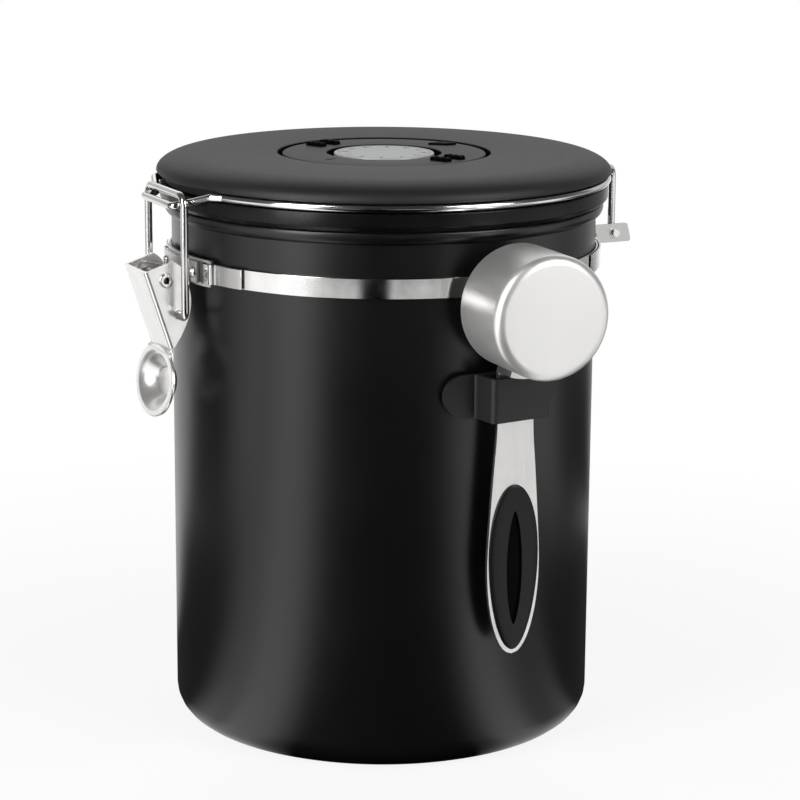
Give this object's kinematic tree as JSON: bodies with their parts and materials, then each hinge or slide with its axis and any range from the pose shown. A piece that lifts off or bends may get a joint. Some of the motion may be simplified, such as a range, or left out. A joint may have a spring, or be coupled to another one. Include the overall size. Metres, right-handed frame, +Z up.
{
  "type": "coffee canister",
  "caption": "Airtight coffee canister: lidded can with a wire hinge, an over-centre bail latch, a turning date dial and a clip-on scoop.",
  "frame": {"origin": "on the can's axis at the plane that the can stands on", "axes": "+Z up along the can's axis, -Y towards the latch, +Y towards the lid's hinge, +X towards the side where the scoop hangs"},
  "size_m": [0.1589, 0.1549, 0.1708],
  "materials": {
    "can_coat": "satin powder coat",
    "polished_steel": "polished",
    "brushed_steel": "brushed",
    "gloss_plastic": "gloss",
    "matt_plastic": "fine matt grain",
    "silver_plastic": "metallic lacquer",
    "silicone": "satin",
    "foam": "matt foam"
  },
  "bodies": {
    "canister": {"can_body": "can_coat", "strap_right": "polished_steel", "strap_left": "polished_steel", "latch_bracket": "polished_steel", "latch_ears": "brushed_steel", "latch_rivet_right": "polished_steel", "latch_rivet_left": "polished_steel", "hinge_bracket": "polished_steel", "holder_foam": "foam", "scoop_holder": "matt_plastic"},
    "lid": {"lid_pan": "gloss_plastic", "lid_gasket": "silicone", "lid_cover": "matt_plastic", "dial_disc": "silver_plastic", "valve_body": "matt_plastic", "valve_membrane": "silicone", "valve_cap": "matt_plastic", "lid_screw_1": "brushed_steel", "lid_screw_2": "brushed_steel", "lid_screw_3": "brushed_steel", "lid_wire": "polished_steel"},
    "date_ring": {"date_ring": "matt_plastic"},
    "latch_lever": {"latch_lever": "polished_steel", "latch_pin": "brushed_steel"},
    "latch_bail": {"latch_bail": "polished_steel"},
    "scoop": {"scoop_cup": "brushed_steel", "scoop_handle": "brushed_steel", "scoop_grip": "matt_plastic"}
  },
  "joints": [
    {"name": "lid_hinge", "type": "hinge", "parent": "canister", "child": "lid", "pos_m": [0, 0.0705, 0.143], "axis": [-1, 0, 0], "range_deg": [0, 190]},
    {"name": "date_ring_spin", "type": "hinge", "parent": "lid", "child": "date_ring", "pos_m": [0, 0, 0.168], "axis": [0, 0, 1], "continuous": true},
    {"name": "latch_lever_hinge", "type": "hinge", "parent": "canister", "child": "latch_lever", "pos_m": [0, -0.0722, 0.138], "axis": [-1, 0, 0], "range_deg": [0, 130]},
    {"name": "latch_bail_hinge", "type": "hinge", "parent": "latch_lever", "child": "latch_bail", "pos_m": [0, -0.0687, 0.1279], "axis": [-1, 0, 0], "range_deg": [-130, 0]},
    {"name": "scoop_lift", "type": "slide", "parent": "canister", "child": "scoop", "axis": [0, 0, 1], "range_m": [0, 0.085]}
  ],
  "couplings": [
    {"joint": "latch_bail_hinge", "follows": "latch_lever_hinge", "ratio": -1}
  ]
}
